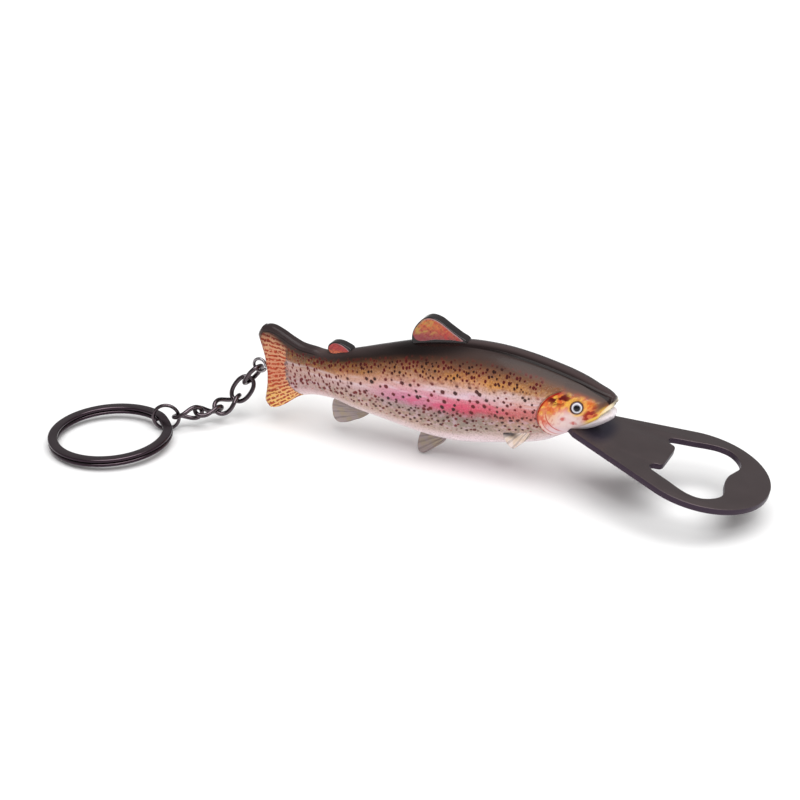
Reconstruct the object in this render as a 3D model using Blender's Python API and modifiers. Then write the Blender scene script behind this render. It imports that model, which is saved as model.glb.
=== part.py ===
"""Souvenir bottle opener: a cast trout with a flat steel opener blade under its jaw, and a key ring
on a short twisted-link chain at its tail. Lengths are in millimetres in the fish's own frame (X from
tail to snout, Z up, Y = 0 the plane through the middle of the fish) and become metres in each mesh."""

import math

import bmesh
import bpy
import numpy as np
from mathutils import Matrix, Vector

MM = 0.001
GAP = 0.3  # clearance between a piece and the socket, slot or wire that holds it
FRAME_SHIFT = (-5.12, 13.12, 13.05)  # moves the fish's frame so that the origin is under the middle

# Fish body: sections as (x, height of the middle, half height, half width)
BODY_SECTIONS = (
    (-30.0, 2.7, 3.0, 0.9),
    (-26.5, 3.0, 5.4, 1.7),
    (-23.0, 3.3, 6.4, 2.6),
    (-18.0, 3.3, 6.1, 3.7),
    (-11.0, 3.7, 7.8, 5.2),
    (-4.0, 4.4, 9.4, 6.5),
    (3.0, 5.0, 11.0, 7.5),
    (10.0, 5.4, 12.2, 8.1),
    (18.0, 6.1, 12.6, 8.4),
    (26.0, 6.9, 11.9, 8.4),
    (33.0, 7.3, 10.7, 8.1),
    (38.5, 7.7, 9.2, 7.6),
    (42.5, 8.4, 7.5, 7.0),
    (46.0, 8.6, 6.2, 6.2),
    (49.2, 8.6, 4.9, 5.2),
    (51.8, 8.8, 3.4, 4.0),
    (53.4, 9.1, 2.1, 2.7),
    (54.0, 9.2, 1.0, 1.3),
)
SECTION_SIDES = 20
CAGE_SWELL = 1.016  # the smoothed skin lies inside its cage by this much

# Tail fin, cast in one with the body
TAIL_OUTLINE = (
    (-37.6, 9.6), (-37.2, 11.2), (-36.2, 12.4), (-34.8, 13.1), (-33.0, 13.0), (-30.5, 12.0),
    (-27.5, 10.3), (-23.0, 8.6), (-21.0, 3.3), (-23.0, -2.2), (-26.0, -3.8), (-29.5, -6.2),
    (-32.0, -8.0), (-34.2, -8.5), (-35.9, -7.9), (-36.4, -6.6), (-35.7, -2.7), (-35.4, 1.0),
    (-36.4, 4.6), (-37.2, 7.4),
)  # fmt: skip
TAIL_HALF_THICKNESS = 1.7

# Upright fins as outlines in the plane Y = 0, each with a tab that sits in a slot in the body
DORSAL_FIN = (
    (4.6, 13.4), (17.0, 15.8), (17.5, 19.0), (15.6, 20.0), (14.0, 20.9), (12.3, 21.9),
    (10.6, 22.9), (9.2, 23.3), (7.9, 23.3), (6.7, 22.8), (5.5, 21.7), (4.3, 20.0), (3.7, 18.4),
    (3.6, 17.0), (3.9, 15.6),
)  # fmt: skip
DORSAL_SLOT = ((4.1, 12.9), (17.4, 15.4), (18.3, 20.9), (2.4, 18.4), (3.3, 15.3))
DORSAL_PANEL = (
    (4.6, 17.8), (4.3, 18.5), (4.8, 19.7), (6.0, 21.3), (7.0, 22.3), (8.0, 22.7), (9.1, 22.7),
    (10.4, 22.25), (12.0, 21.45), (13.8, 20.45), (15.4, 19.6), (16.3, 19.05), (14.0, 18.85),
    (10.2, 18.55),
)  # fmt: skip
DORSAL_HALF_THICKNESS = 1.4

ADIPOSE_FIN = (
    (-16.8, 7.6), (-13.2, 8.4), (-12.3, 11.2), (-13.9, 12.0), (-15.2, 12.35), (-16.5, 12.35),
    (-17.6, 12.0), (-18.4, 11.2), (-18.6, 10.3), (-17.8, 9.2),
)  # fmt: skip
ADIPOSE_SLOT = ((-17.6, 7.0), (-12.6, 7.9), (-11.6, 12.8), (-19.6, 12.4), (-18.7, 9.0))
ADIPOSE_PANEL = (
    (-17.6, 10.1), (-17.9, 10.7), (-17.4, 11.3), (-16.6, 11.7), (-15.3, 11.7), (-14.1, 11.3),
    (-15.2, 10.7),
)  # fmt: skip
ADIPOSE_HALF_THICKNESS = 1.2
PANEL_THICKNESS = 0.45

ANAL_FIN = (
    (-15.8, -1.2), (-17.3, -2.6), (-18.0, -4.4), (-18.0, -6.3), (-17.6, -8.2), (-16.7, -9.0),
    (-14.8, -8.9), (-12.0, -7.7), (-9.3, -6.2), (-8.2, -5.2), (-8.8, -2.6),
)  # fmt: skip
ANAL_SLOT = ((-15.4, -0.6), (-17.0, -0.9), (-18.5, -3.0), (-18.5, -6.0), (-7.6, -6.5), (-8.4, -2.1))

PELVIC_FIN = (
    (6.4, -4.2), (5.6, -7.0), (5.0, -9.0), (4.8, -11.2), (5.2, -12.4), (6.1, -12.6),
    (7.9, -11.6), (9.7, -10.2), (12.0, -8.0), (12.3, -7.2), (11.6, -4.8),
)  # fmt: skip
PELVIC_SLOT = ((6.1, -3.7), (5.1, -6.9), (4.9, -9.0), (13.0, -9.0), (12.8, -7.1), (12.0, -4.3))

# Pectoral fins: outlines about a point low on each flank, splayed outwards
PECTORAL_FIN = (
    (3.0, 2.4), (-1.8, 2.4), (-2.7, 0.2), (-2.7, -1.1), (-1.9, -2.3), (-0.6, -3.5), (0.1, -3.7),
    (1.3, -2.8), (2.7, -1.4), (3.6, 0.0), (3.7, 0.8),
)  # fmt: skip
PECTORAL_SLOT = ((3.5, 2.8), (-2.2, 2.8), (-3.1, 0.2), (-3.1, -2.2), (4.1, -1.8), (4.1, 0.9))
PECTORAL_POINT = (32.0, 6.3, 1.0)
PECTORAL_SPLAY = math.radians(19)
THIN_FIN_HALF_THICKNESS = 0.45

# Eyes: shallow domes seated in sockets
EYE_POINT = (46.5, 5.55, 10.1)
EYE_FACING = (0.33, 0.91, 0.22)
EYE_RADIUS = 1.65
EYE_DOME = 0.85

# Opener blade: outline as (distance along, half width), pitched nose down
BLADE_POINT = (64.6, 0.0, 0.2)  # on the upper face
BLADE_PITCH = math.radians(11.6)
BLADE_THICKNESS = 1.5
BLADE_EDGE_ROUND = 0.15
BLADE_NOSE_RADIUS = 16.0
BLADE_NOSE_CENTRE = 9.7
BLADE_TAPER = math.radians(21.3)
BLADE_SHOULDER = -19.1
TANG_END = -37.5
TANG_HALF_WIDTH = 4.0
CAP_HOLE = (
    (2.3, 0.0), (2.3, 4.0), (1.8, 5.0), (0.4, 5.5), (-0.1, 6.1), (-0.3, 7.0), (0.1, 8.1),
    (2.8, 9.3), (5.3, 10.3), (7.8, 11.5), (10.1, 12.3), (12.2, 12.4), (13.6, 12.0), (15.0, 11.0),
    (16.3, 9.5), (17.1, 7.8), (17.1, 5.9), (16.5, 3.9), (15.9, 1.7), (15.8, 0.0),
)  # fmt: skip

# Screw eye in the tail
EYELET_CENTRE = (-37.95, 0.0, 1.8)
EYELET_RADIUS = 1.65
EYELET_WIRE = 0.38
SHANK_END = -29.0

# Chain: the points where its links touch, from the screw eye to the jump ring
LINK_POINTS = (
    (-38.7, 0.05, 0.75),
    (-41.7, 0.55, -3.35),
    (-43.9, -1.76, -7.4),
    (-46.5, -6.46, -9.1),
    (-49.6, -10.7, -8.7),
    (-53.7, -14.11, -9.25),
)
LINK_FACE = Vector((0.384, -0.816, 0.432))  # the way that an untwisted link faces
LINK_TWIST = ((108, 104), (-5, 5), (92, 5), (110, 48), (-42, -100))  # degrees at both ends
LINK_WIRE = 0.55
LINK_PLAY = 0.5  # between the wires of neighbouring links
LINK_HALF_WIDTH = 2.2

# Rings
JUMP_CENTRE = (-56.12, -15.26, -9.45)
JUMP_AXIS = Vector((0.426, -0.905, 0.0))
JUMP_RADIUS = 3.15
JUMP_WIRE = 0.45
RING_CENTRE = (-64.5, -27.23, -10.55)
RING_RADIUS = 13.8
RING_BAND = 2.4
RING_LEAF = 0.85
RING_RISE = 1.09
RING_TILT = math.radians(2.0)
RING_TILT_AXIS = Vector((0.8, -0.6, 0.0))
RING_START = math.radians(64)


def clear_scene():
    for obj in list(bpy.data.objects):
        bpy.data.objects.remove(obj)


def make_collection(name, hidden):
    collection = bpy.data.collections.new(name)
    collection.hide_render = hidden
    bpy.context.scene.collection.children.link(collection)
    return collection


def material(name, colour, roughness, metallic):
    made = bpy.data.materials.new(name)
    made.use_nodes = True
    shader = made.node_tree.nodes["Principled BSDF"]
    shader.inputs["Base Color"].default_value = (*colour, 1.0)
    shader.inputs["Roughness"].default_value = roughness
    shader.inputs["Metallic"].default_value = metallic
    return made


def add(name, data, location, finish=None):
    """A new object holding the data, at a point given in millimetres."""
    obj = bpy.data.objects.new(name, data)
    obj.location = Vector(location) * MM
    if finish is None:
        cutters.objects.link(obj)
        obj.display_type = "WIRE"
        obj.hide_render = True
    else:
        parts.objects.link(obj)
        data.materials.append(finish)
    obj.parent = root
    return obj


def outline_curve(name, outlines, half_thickness, rounding=0.0):
    """A filled flat curve with its thickness along its own Z; further outlines are holes."""
    data = bpy.data.curves.new(name, "CURVE")
    data.dimensions = "2D"
    data.fill_mode = "BOTH"
    data.extrude = (half_thickness - rounding) * MM
    data.bevel_depth = rounding * MM
    data.bevel_resolution = 1
    data.offset = -rounding * MM
    for outline in outlines:
        spline = data.splines.new("POLY")
        spline.points.add(len(outline) - 1)
        for point, (x, y) in zip(spline.points, outline):
            point.co = (x * MM, y * MM, 0.0, 1.0)
        spline.use_cyclic_u = True
    return data


def wire_curve(name, points, radius, closed):
    data = bpy.data.curves.new(name, "CURVE")
    data.dimensions = "3D"
    data.bevel_depth = radius * MM
    data.bevel_resolution = 2
    data.use_fill_caps = True
    spline = data.splines.new("POLY")
    spline.points.add(len(points) - 1)
    for point, place in zip(spline.points, points):
        point.co = (*(Vector(place) * MM), 1.0)
    spline.use_cyclic_u = closed
    return data


def mesh_of(obj):
    """A mesh copy of a curve object, closed where its caps meet its sides."""
    graph = bpy.context.evaluated_depsgraph_get()
    data = bpy.data.meshes.new_from_object(obj.evaluated_get(graph))
    shape = bmesh.new()
    shape.from_mesh(data)
    bmesh.ops.remove_doubles(shape, verts=shape.verts, dist=1e-6)
    bmesh.ops.recalc_face_normals(shape, faces=shape.faces)
    shape.to_mesh(data)
    shape.free()
    return data


def flat_cutter(
    name, outline, half_thickness, location=(0, 0, 0), rotation=(math.pi / 2, 0, 0), grown=0.0
):
    guide = add(name + "_guide", outline_curve(name, [outline], half_thickness), (0, 0, 0))
    guide.data.offset = grown * MM
    cutter = add(name, mesh_of(guide), location)
    cutter.rotation_euler = rotation
    bpy.data.objects.remove(guide)
    return cutter


def boolean(obj, other, operation):
    modifier = obj.modifiers.new(other.name, "BOOLEAN")
    modifier.operation = operation
    modifier.solver = "EXACT"
    modifier.object = other


def smooth(obj, angle):
    obj.data.shade_smooth()
    obj.data.set_sharp_from_angle(angle=math.radians(angle))


def body_cage():
    """Superellipse rings from the tail to the snout, closed by a face at both ends."""
    shape = bmesh.new()
    rings = []
    for x, middle, half_height, half_width in BODY_SECTIONS:
        ring = []
        for side in range(SECTION_SIDES):
            angle = 2 * math.pi * side / SECTION_SIDES
            y = half_width * CAGE_SWELL * math.sin(angle)
            z = middle + half_height * CAGE_SWELL * math.cos(angle)
            ring.append(shape.verts.new((x * MM, y * MM, z * MM)))
        rings.append(ring)
    for first, second in zip(rings, rings[1:]):
        for side in range(SECTION_SIDES):
            after = (side + 1) % SECTION_SIDES
            shape.faces.new((first[side], second[side], second[after], first[after]))
    shape.faces.new(rings[0])
    shape.faces.new(rings[-1])
    bmesh.ops.recalc_face_normals(shape, faces=shape.faces)
    data = bpy.data.meshes.new("fish_body")
    shape.to_mesh(data)
    shape.free()
    return data


def ellipsoid(name, radii, location, facing, finish=None):
    data = bpy.data.meshes.new(name)
    shape = bmesh.new()
    bmesh.ops.create_uvsphere(shape, u_segments=28, v_segments=14, radius=MM)
    bmesh.ops.scale(shape, vec=radii, verts=shape.verts)
    shape.to_mesh(data)
    shape.free()
    obj = add(name, data, location, finish)
    obj.rotation_euler = Vector(facing).to_track_quat("Z", "Y").to_euler()
    return obj


def blade_outline():
    """Nose arc, tapering sides, and the tang that goes up into the head."""
    turn = math.pi / 2 + BLADE_TAPER
    outline = []
    for angle in np.linspace(-turn, turn, 45):
        along = BLADE_NOSE_CENTRE + BLADE_NOSE_RADIUS * math.cos(angle)
        outline.append((along, BLADE_NOSE_RADIUS * math.sin(angle)))
    last_along, last_across = outline[-1]
    shoulder = last_across - (last_along - BLADE_SHOULDER) * math.tan(BLADE_TAPER)
    side = (
        (BLADE_SHOULDER, shoulder),
        (BLADE_SHOULDER - 1.6, TANG_HALF_WIDTH + 0.5),
        (BLADE_SHOULDER - 3.0, TANG_HALF_WIDTH),
        (TANG_END + 1.5, TANG_HALF_WIDTH),
        (TANG_END, TANG_HALF_WIDTH - 1.5),
    )
    outline.extend(side)
    outline.extend((along, -across) for along, across in reversed(side))
    return outline


def link_frame(index):
    start, end = Vector(LINK_POINTS[index]), Vector(LINK_POINTS[index + 1])
    along = (end - start).normalized()
    across = along.cross(LINK_FACE).normalized()
    return start, end, along, across, along.cross(across)


def link_path(index, twist):
    """An oval whose plane turns about its length from one end to the other."""
    start, end, along, across, depth = link_frame(index)
    reach = (end - start).length / 2 + LINK_WIRE + LINK_PLAY / 2
    middle = (start + end) / 2
    points = []
    for angle in np.linspace(0, 2 * math.pi, 33)[:-1]:
        distance = reach * math.copysign(abs(math.cos(angle)) ** 0.87, math.cos(angle))
        width = LINK_HALF_WIDTH * math.copysign(abs(math.sin(angle)) ** 0.87, math.sin(angle))
        share = 0.5 + 0.5 * math.sin(math.pi / 2 * distance / reach)
        turn = math.radians(twist[0] + (twist[1] - twist[0]) * share)
        sideways = across * math.cos(turn) + depth * math.sin(turn)
        points.append(middle + along * distance + sideways * width - start)
    return start, points


def ring_path():
    """Almost two turns; the wire steps up by its own thickness where the first turn ends."""
    points = []
    for degrees in np.arange(0.0, 690.1, 5.0):
        step = min(max((degrees - 335.0) / 25.0, 0.0), 1.0)
        height = RING_RISE * (step * step * (3 - 2 * step) - 0.5)
        angle = RING_START + math.radians(degrees)
        points.append((RING_RADIUS * math.cos(angle), RING_RADIUS * math.sin(angle), height))
    return points


clear_scene()
parts = make_collection("trout_bottle_opener", False)
cutters = make_collection("cutters", True)
root = bpy.data.objects.new("opener_root", None)
root.location = Vector(FRAME_SHIFT) * MM
parts.objects.link(root)

resin = material("painted_resin", (0.42, 0.30, 0.27), 0.22, 0.0)
fin_black = material("black_fin", (0.02, 0.02, 0.02), 0.2, 0.0)
fin_orange = material("orange_panel", (0.75, 0.25, 0.08), 0.3, 0.0)
fin_grey = material("smoky_fin", (0.35, 0.32, 0.32), 0.35, 0.0)
eye_paint = material("eye", (0.05, 0.05, 0.06), 0.08, 0.0)
blade_coat = material("black_oxide_blade", (0.075, 0.06, 0.065), 0.4, 0.6)
nickel = material("black_nickel", (0.12, 0.11, 0.12), 0.22, 1.0)
bright_wire = material("bright_wire", (0.75, 0.74, 0.73), 0.2, 1.0)

# Fins and their slots
upright = (math.pi / 2, 0, 0)
fins = (
    ("dorsal_fin", DORSAL_FIN, DORSAL_SLOT, DORSAL_HALF_THICKNESS, fin_black),
    ("adipose_fin", ADIPOSE_FIN, ADIPOSE_SLOT, ADIPOSE_HALF_THICKNESS, fin_black),
    ("anal_fin", ANAL_FIN, ANAL_SLOT, THIN_FIN_HALF_THICKNESS, fin_grey),
    ("pelvic_fin", PELVIC_FIN, PELVIC_SLOT, THIN_FIN_HALF_THICKNESS, fin_grey),
)
body_cutters = []
upright_fins = {}
for name, outline, slot, half_thickness, finish in fins:
    guide = add(name + "_guide", outline_curve(name, [outline], half_thickness, 0.2), (0, 0, 0))
    fin = add(name, mesh_of(guide), (0, 0, 0), finish)
    bpy.data.objects.remove(guide)
    fin.rotation_euler = upright
    upright_fins[name] = fin
    body_cutters.append(flat_cutter(name + "_slot", slot, half_thickness + GAP))

# Coloured panels let into both faces of the thick fins
inlays = (
    ("dorsal", DORSAL_PANEL, DORSAL_HALF_THICKNESS),
    ("adipose", ADIPOSE_PANEL, ADIPOSE_HALF_THICKNESS),
)
for name, outline, half_thickness in inlays:
    for hand, side in (("right", -1), ("left", 1)):
        face = side * half_thickness
        panel_y = face - side * PANEL_THICKNESS / 2
        panel_data = outline_curve(name, [outline], PANEL_THICKNESS / 2, 0.1)
        panel = add(f"{name}_inlay_{hand}", panel_data, (0, panel_y, 0), fin_orange)
        panel.rotation_euler = upright
        depth = PANEL_THICKNESS + GAP
        pocket = f"{name}_pocket_{hand}"
        recess = flat_cutter(pocket, outline, depth, (0, face, 0), upright, grown=GAP)
        boolean(upright_fins[name + "_fin"], recess, "DIFFERENCE")

for hand, side in (("right", -1), ("left", 1)):
    point = (PECTORAL_POINT[0], side * PECTORAL_POINT[1], PECTORAL_POINT[2])
    lean = (math.pi / 2 + side * PECTORAL_SPLAY, 0, 0)
    name = "pectoral_fin_" + hand
    fin = add(name, outline_curve(name, [PECTORAL_FIN], THIN_FIN_HALF_THICKNESS, 0.2), point, fin_grey)
    fin.rotation_euler = lean
    body_cutters.append(
        flat_cutter(name + "_slot", PECTORAL_SLOT, THIN_FIN_HALF_THICKNESS + GAP, point, lean)
    )
    place = (EYE_POINT[0], side * EYE_POINT[1], EYE_POINT[2])
    facing = (EYE_FACING[0], side * EYE_FACING[1], EYE_FACING[2])
    radii = (EYE_RADIUS, EYE_RADIUS, EYE_DOME)
    ellipsoid("eye_" + hand, radii, place, facing, eye_paint)
    socket = tuple(radius + GAP for radius in radii)
    body_cutters.append(ellipsoid("eye_socket_" + hand, socket, place, facing))

# Blade, its slot in the head, and the clearance in front of the throat
blade_middle = Vector(BLADE_POINT) - Vector((math.sin(BLADE_PITCH), 0, math.cos(BLADE_PITCH))) * (
    BLADE_THICKNESS / 2
)
pitch = (0, BLADE_PITCH, 0)
hole = [*CAP_HOLE, *((along, -across) for along, across in reversed(CAP_HOLE[1:-1]))]
blade_data = outline_curve(
    "opener_blade", [blade_outline(), hole], BLADE_THICKNESS / 2, BLADE_EDGE_ROUND
)
blade = add("opener_blade", blade_data, blade_middle, blade_coat)
blade.rotation_euler = pitch
tang_side = (
    (8.0, 14.0), (BLADE_SHOULDER - 0.5, 14.0), (BLADE_SHOULDER - 2.0, TANG_HALF_WIDTH + 0.9),
    (BLADE_SHOULDER - 3.0, TANG_HALF_WIDTH + GAP), (TANG_END - GAP, TANG_HALF_WIDTH + GAP),
)  # fmt: skip
tang_slot = [*tang_side, *((along, -across) for along, across in reversed(tang_side))]
body_cutters.append(
    flat_cutter("tang_slot", tang_slot, BLADE_THICKNESS / 2 + GAP, blade_middle, pitch)
)
throat = ((10.0, 14.0), (BLADE_SHOULDER - 0.4, 14.0), (BLADE_SHOULDER - 0.4, -14.0), (10.0, -14.0))
below = blade_middle - Vector((math.sin(BLADE_PITCH), 0, math.cos(BLADE_PITCH))) * 4.0
body_cutters.append(flat_cutter("throat_clearance", throat, 4.0, below, pitch))

# Mouth: a shallow wedge across the snout
mouth = ((51.6, 8.1), (55.5, 8.4), (55.5, 9.5))
body_cutters.append(flat_cutter("mouth_cut", mouth, 8.0))

# Screw eye and its hole
loop = []
for degrees in np.linspace(0.0, 335.0, 25):
    angle = math.radians(degrees)
    loop.append((EYELET_RADIUS * math.cos(angle), 0.0, EYELET_RADIUS * math.sin(angle)))
shank = [(SHANK_END - EYELET_CENTRE[0], 0.0, 0.0), (EYELET_RADIUS + 1.2, 0.0, 0.0)]
add("screw_eye", wire_curve("screw_eye", shank + loop, EYELET_WIRE, False), EYELET_CENTRE, bright_wire)
bore = bpy.data.meshes.new("screw_hole")
drill = bmesh.new()
bmesh.ops.create_cone(
    drill,
    cap_ends=True,
    segments=24,
    radius1=(EYELET_WIRE + GAP) * MM,
    radius2=(EYELET_WIRE + GAP) * MM,
    depth=12 * MM,
)
drill.to_mesh(bore)
drill.free()
screw_hole = add("screw_hole", bore, (SHANK_END + 0.4 - 6.0, 0.0, EYELET_CENTRE[2]))
screw_hole.rotation_euler = (0, math.pi / 2, 0)
body_cutters.append(screw_hole)

# Fish body: smoothed cage, tail fin joined on, sockets and slots cut
body = add("fish_body", body_cage(), (0, 0, 0), resin)
skin = body.modifiers.new("skin", "SUBSURF")
skin.levels = 1
skin.render_levels = 1
tail_guide = add("tail_guide", outline_curve("tail", [TAIL_OUTLINE], TAIL_HALF_THICKNESS, 0.5), (0, 0, 0))
tail = add("tail_fin", mesh_of(tail_guide), (0, 0, 0))
tail.rotation_euler = upright
bpy.data.objects.remove(tail_guide)
boolean(body, tail, "UNION")
for cutter in body_cutters:
    boolean(body, cutter, "DIFFERENCE")
smooth(body, 35)

# Chain
for index, twist in enumerate(LINK_TWIST):
    start, path = link_path(index, twist)
    name = f"chain_link_{index + 1}"
    add(name, wire_curve(name, path, LINK_WIRE, True), start, nickel)

# Jump ring
jump_data = bpy.data.meshes.new("jump_ring")
jump = add("jump_ring", jump_data, JUMP_CENTRE, nickel)
circle = [
    (JUMP_RADIUS * math.cos(angle), JUMP_RADIUS * math.sin(angle), 0.0)
    for angle in np.linspace(0, 2 * math.pi, 37)[:-1]
]
jump_guide = add("jump_guide", wire_curve("jump_guide", circle, JUMP_WIRE, True), (0, 0, 0))
jump.data = mesh_of(jump_guide)
jump.data.materials.append(nickel)
bpy.data.objects.remove(jump_guide)
jump.rotation_euler = JUMP_AXIS.to_track_quat("Z", "Y").to_euler()
smooth(jump, 50)

# Split ring
band = [
    (RING_BAND / 2, RING_LEAF / 2 - 0.2), (RING_BAND / 2 - 0.2, RING_LEAF / 2),
    (0.2 - RING_BAND / 2, RING_LEAF / 2), (-RING_BAND / 2, RING_LEAF / 2 - 0.2),
    (-RING_BAND / 2, 0.2 - RING_LEAF / 2), (0.2 - RING_BAND / 2, -RING_LEAF / 2),
    (RING_BAND / 2 - 0.2, -RING_LEAF / 2), (RING_BAND / 2, 0.2 - RING_LEAF / 2),
]  # fmt: skip
profile = outline_curve("band_profile", [band], 0.0)
profile.fill_mode = "NONE"
profile_object = add("band_profile", profile, (0, 0, 0))
split_data = wire_curve("split_ring", ring_path(), 1.0, False)
split_data.bevel_mode = "OBJECT"
split_data.bevel_object = profile_object
split_data.twist_mode = "Z_UP"
split_guide = add("split_guide", split_data, (0, 0, 0))
split = add("split_ring", mesh_of(split_guide), RING_CENTRE, nickel)
bpy.data.objects.remove(split_guide)
split.rotation_euler = Matrix.Rotation(RING_TILT, 4, RING_TILT_AXIS).to_euler()
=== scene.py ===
"""Looks of the trout bottle opener: a fine painted skin for the fish, ribbed fins, glass-bright eyes, a
satin black blade and black nickel chain and rings. Lengths are in millimetres in the fish's own frame
(X from tail to snout, Z up, Y = 0 the plane through the middle of the fish), as in the CAD model."""

import math

import bmesh
import bpy
import numpy as np
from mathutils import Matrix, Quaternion, Vector


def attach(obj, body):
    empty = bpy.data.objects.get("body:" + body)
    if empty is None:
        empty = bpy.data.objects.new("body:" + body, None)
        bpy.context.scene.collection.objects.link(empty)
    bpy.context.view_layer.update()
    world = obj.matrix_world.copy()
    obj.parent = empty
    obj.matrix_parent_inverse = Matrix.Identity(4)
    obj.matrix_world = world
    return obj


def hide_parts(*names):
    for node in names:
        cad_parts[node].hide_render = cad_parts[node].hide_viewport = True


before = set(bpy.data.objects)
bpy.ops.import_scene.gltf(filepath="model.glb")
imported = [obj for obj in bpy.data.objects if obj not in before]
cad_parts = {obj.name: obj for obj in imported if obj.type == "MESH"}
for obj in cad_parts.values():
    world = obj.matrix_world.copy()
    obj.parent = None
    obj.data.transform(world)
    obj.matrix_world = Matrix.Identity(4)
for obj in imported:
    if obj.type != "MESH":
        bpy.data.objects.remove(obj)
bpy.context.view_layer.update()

MM = 0.001
FRAME_SHIFT = np.array((-5.12, 13.12, 13.05))  # from the fish's frame to the frame of the bodies


# ---- meshes


def in_row_frame(points):
    return (np.asarray(points, float) + FRAME_SHIFT) * MM


def smooth_through(knots, values, at):
    """Cubic through the values (rows) at the knots, read at the given places."""
    knots, values, at = np.asarray(knots, float), np.asarray(values, float), np.asarray(at, float)
    slopes = np.gradient(values, knots, axis=0)
    index = np.clip(np.searchsorted(knots, at) - 1, 0, len(knots) - 2)
    span = knots[index + 1] - knots[index]
    t = ((at - knots[index]) / span)[:, None]
    span = span[:, None]
    return (
        values[index] * (2 * t**3 - 3 * t**2 + 1)
        + slopes[index] * span * (t**3 - 2 * t**2 + t)
        + values[index + 1] * (3 * t**2 - 2 * t**3)
        + slopes[index + 1] * span * (t**3 - t**2)
    )


def smooth_outline(outline, count):
    """A closed outline made smooth, with its points evenly spread."""
    points = np.array(outline, float)
    points = np.vstack((points[-3:], points, points[:4]))
    steps = np.hypot(*np.diff(points, axis=0).T)
    knots = np.concatenate(([0.0], np.cumsum(steps)))
    first, last = knots[3], knots[3 + len(outline)]
    at = np.linspace(first, last, count, endpoint=False)
    return smooth_through(knots, points, at)


def step(value, low, high):
    t = np.clip((value - low) / (high - low), 0.0, 1.0)
    return t * t * (3 - 2 * t)


def bump(value, half_width):
    """One at zero, fading to nothing at the half width."""
    t = np.clip(np.abs(value) / half_width, 0.0, 1.0)
    return (1 - t * t) ** 2


def cleaned(data, gap, thinnest=None):
    """The mesh with points closer than the gap joined and its faces turned outwards."""
    shape = bmesh.new()
    shape.from_mesh(data)
    bmesh.ops.remove_doubles(shape, verts=shape.verts, dist=gap)
    if thinnest:
        bmesh.ops.dissolve_degenerate(shape, edges=shape.edges, dist=thinnest)
    bmesh.ops.recalc_face_normals(shape, faces=shape.faces)
    shape.to_mesh(data)
    shape.free()
    data.shade_smooth()
    return data


def surface(name, points, attributes, finish, replaced):
    """A smooth skin over a grid of points that wraps round and closes on itself at both ends."""
    rows, columns = points.shape[:2]
    index = np.arange(rows * columns).reshape(rows, columns)
    after = np.roll(index, -1, axis=1)
    faces = np.stack((index[:-1], after[:-1], after[1:], index[1:]), axis=-1).reshape(-1, 4)
    data = bpy.data.meshes.new(name)
    data.from_pydata(in_row_frame(points).reshape(-1, 3).tolist(), [], faces.tolist())
    for key, values in attributes.items():
        kind, field = ("FLOAT_VECTOR", "vector") if values.ndim == 3 else ("FLOAT", "value")
        layer = data.attributes.new(key, kind, "POINT")
        layer.data.foreach_set(field, values.astype(np.float32).ravel())
    return piece(name, cleaned(data, 2e-6, 1e-7), "trout", finish, replaced)


def show(name, data):
    """A new object in the scene."""
    obj = bpy.data.objects.new(name, data)
    bpy.context.scene.collection.objects.link(obj)
    return obj


def piece(name, data, body, finish, replaced):
    obj = show(name, data)
    data.materials.clear()
    data.materials.append(finish)
    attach(obj, body)
    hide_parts(*replaced)
    return obj


def add_line(data, points, closed=True):
    """A line through points in metres, added to a curve."""
    spline = data.splines.new("POLY")
    spline.points.add(len(points) - 1)
    for point, place in zip(spline.points, points):
        point.co = (*place, 1.0)
    spline.use_cyclic_u = closed


def mesh_of_curve(data, smooth_angle=40):
    """The curve as a mesh, closed where its caps meet its sides."""
    guide = show("guide", data)
    graph = bpy.context.evaluated_depsgraph_get()
    made = bpy.data.meshes.new_from_object(guide.evaluated_get(graph))
    bpy.data.objects.remove(guide)
    cleaned(made, 1e-6)
    made.set_sharp_from_angle(angle=math.radians(smooth_angle))
    return made


def corners_of(made):
    points = np.empty(len(made.vertices) * 3)
    made.vertices.foreach_get("co", points)
    return points.reshape(-1, 3)


def place_mesh(made, turn, middle):
    """Turns the mesh about its origin and moves that to a place in the fish's frame."""
    placed = corners_of(made) @ turn.T + in_row_frame(middle)
    made.vertices.foreach_set("co", placed.astype(np.float32).ravel())
    made.update()


def wire(name, points, radius, closed, profile=None):
    """A round wire, or one with the given profile, along points in the fish's frame."""
    data = bpy.data.curves.new(name, "CURVE")
    data.dimensions = "3D"
    data.use_fill_caps = True
    if profile is None:
        data.bevel_depth = radius * MM
        data.bevel_resolution = 6
    else:
        data.bevel_mode = "OBJECT"
        data.bevel_object = profile
        data.twist_mode = "Z_UP"
    add_line(data, in_row_frame(points), closed)
    return mesh_of_curve(data)


# ---- paint


def screen(colour):
    """A screen colour, 0 to 255, as the linear colour that a shader takes; a value stays as it is."""
    if isinstance(colour, Value):
        return colour
    shares = [part / 255 for part in colour]
    return (*(c / 12.92 if c <= 0.0393 else ((c + 0.055) / 1.055) ** 2.4 for c in shares), 1.0)


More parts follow.
